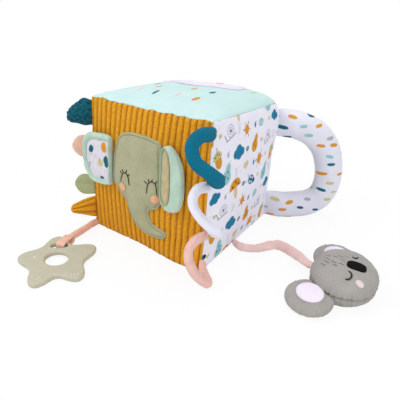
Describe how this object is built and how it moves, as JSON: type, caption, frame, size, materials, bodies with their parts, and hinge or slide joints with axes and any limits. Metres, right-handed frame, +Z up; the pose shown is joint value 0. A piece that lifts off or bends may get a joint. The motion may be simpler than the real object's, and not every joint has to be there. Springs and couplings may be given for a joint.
{
  "type": "soft fabric activity block",
  "caption": "Soft fabric baby activity block with an elephant whose ears fold, padded loops, tags, grab handle, star teether and stuffed koala head on straps.",
  "frame": {"origin": "middle of the block's flat bottom, on the surface that it stands on", "axes": "+Z up; -Y out of the corduroy front with the elephant; +X out of the white printed side, towards the koala"},
  "size_m": [0.3324, 0.3473, 0.1613],
  "materials": {
    "mint": "jersey and velour",
    "corduroy": "wide-wale corduroy",
    "white_print": "printed woven cotton",
    "teal": "short plush",
    "dark_teal": "short plush",
    "pink": "woven cotton",
    "sage": "velour",
    "peach": "felt",
    "green": "velour",
    "foam": "soft foam",
    "wadding": "polyester wadding",
    "crinkle_film": "thin crackling film",
    "capsule_plastic": "moulded plastic",
    "ball_steel": "plain steel",
    "silicone": "matte silicone",
    "koala_grey": "velour",
    "white_velour": "velour",
    "nose_black": "velour"
  },
  "bodies": {
    "block": {"front_panel": "corduroy", "right_panel": "white_print", "back_panel": "mint", "left_panel": "corduroy", "top_panel": "mint", "bottom_panel": "mint", "foam_core": "foam", "foam_plug": "foam", "rattle_lower_shell": "capsule_plastic", "rattle_upper_shell": "capsule_plastic", "top_cloud": "white_print", "elephant_head": "sage", "elephant_wadding": "wadding", "elephant_left_cheek": "peach", "elephant_right_cheek": "peach"},
    "rattle_ball": {"rattle_ball": "ball_steel"},
    "left_ear": {"left_ear_cover": "mint", "left_ear_crinkle_film": "crinkle_film", "left_ear_lining": "white_print"},
    "right_ear": {"right_ear_cover": "mint", "right_ear_crinkle_film": "crinkle_film", "right_ear_lining": "sage"},
    "teal_loop": {"teal_loop_cover": "teal", "teal_loop_filling": "wadding"},
    "white_loop": {"white_loop_cover": "white_velour", "white_loop_filling": "wadding"},
    "pink_loop": {"pink_loop_cover": "pink", "pink_loop_filling": "wadding"},
    "flower_tag": {"flower_tag": "dark_teal"},
    "pink_tab": {"pink_tab": "pink"},
    "green_tab": {"green_tab": "green"},
    "corduroy_spike": {"corduroy_spike": "corduroy"},
    "handle": {"handle_cover": "white_print", "handle_filling": "wadding"},
    "star_strap": {"star_strap": "pink", "star_strap_loop": "pink"},
    "star": {"star_teether": "silicone"},
    "koala_strap": {"koala_strap": "pink"},
    "koala": {"koala_face_panel": "koala_grey", "koala_back_panel": "koala_grey", "koala_filling": "wadding", "koala_front_ear": "koala_grey", "koala_back_ear": "koala_grey", "koala_front_ear_patch": "white_velour", "koala_back_ear_patch": "white_velour", "koala_nose": "nose_black"}
  },
  "joints": [
    {"name": "rattle_ball_slide", "type": "slide", "parent": "block", "child": "rattle_ball", "axis": [0, 0, 1], "range_m": [0, 0.0134]},
    {"name": "left_ear_fold", "type": "hinge", "parent": "block", "child": "left_ear", "pos_m": [-0.03773, -0.08394, 0.0913], "axis": [0, 0, 1], "range_deg": [0, 100]},
    {"name": "right_ear_fold", "type": "hinge", "parent": "block", "child": "right_ear", "pos_m": [0.02717, -0.08459, 0.0925], "axis": [0, 0, -1], "range_deg": [0, 100]},
    {"name": "teal_loop_swing", "type": "hinge", "parent": "block", "child": "teal_loop", "pos_m": [0.07878, -0.07878, 0.08], "axis": [0, 0, 1], "range_deg": [-12, 12]},
    {"name": "white_loop_swing", "type": "hinge", "parent": "block", "child": "white_loop", "pos_m": [0.07878, -0.07878, 0.08], "axis": [0, 0, 1], "range_deg": [-12, 12]},
    {"name": "pink_loop_swing", "type": "hinge", "parent": "block", "child": "pink_loop", "pos_m": [0.07878, -0.07878, 0.08], "axis": [0, 0, 1], "range_deg": [-12, 12]},
    {"name": "flower_tag_fold", "type": "hinge", "parent": "block", "child": "flower_tag", "pos_m": [-0.0755, -0.0755, 0.08], "axis": [0, 0, 1], "range_deg": [-55, 55]},
    {"name": "pink_tab_fold", "type": "hinge", "parent": "block", "child": "pink_tab", "pos_m": [-0.0755, -0.0755, 0.08], "axis": [0, 0, 1], "range_deg": [-65, 0]},
    {"name": "green_tab_fold", "type": "hinge", "parent": "block", "child": "green_tab", "pos_m": [-0.0755, -0.0755, 0.08], "axis": [0, 0, 1], "range_deg": [-65, 35]},
    {"name": "corduroy_spike_fold", "type": "hinge", "parent": "block", "child": "corduroy_spike", "pos_m": [-0.0755, -0.0755, 0.08], "axis": [0, 0, 1], "range_deg": [-55, 30]},
    {"name": "handle_swing", "type": "hinge", "parent": "block", "child": "handle", "pos_m": [0.07592, 0.07592, 0.07], "axis": [0, 0, 1], "range_deg": [-50, 50]},
    {"name": "star_strap_swing", "type": "hinge", "parent": "block", "child": "star_strap", "pos_m": [-0.0726, -0.0751, 0.005], "axis": [0, 0, 1], "range_deg": [-25, 25]},
    {"name": "star_turn", "type": "hinge", "parent": "star_strap", "child": "star", "pos_m": [-0.06409, -0.13065, 0.0045], "axis": [0, 0, 1], "range_deg": [-10, 10]},
    {"name": "koala_strap_swing", "type": "hinge", "parent": "block", "child": "koala_strap", "pos_m": [0.0802, -0.0119, 0.0048], "axis": [0, 0, 1], "range_deg": [-30, 30]},
    {"name": "koala_turn", "type": "hinge", "parent": "koala_strap", "child": "koala", "pos_m": [0.1691, -0.0136, 0.0116], "axis": [0, 0, 1], "range_deg": [-25, 25]}
  ]
}
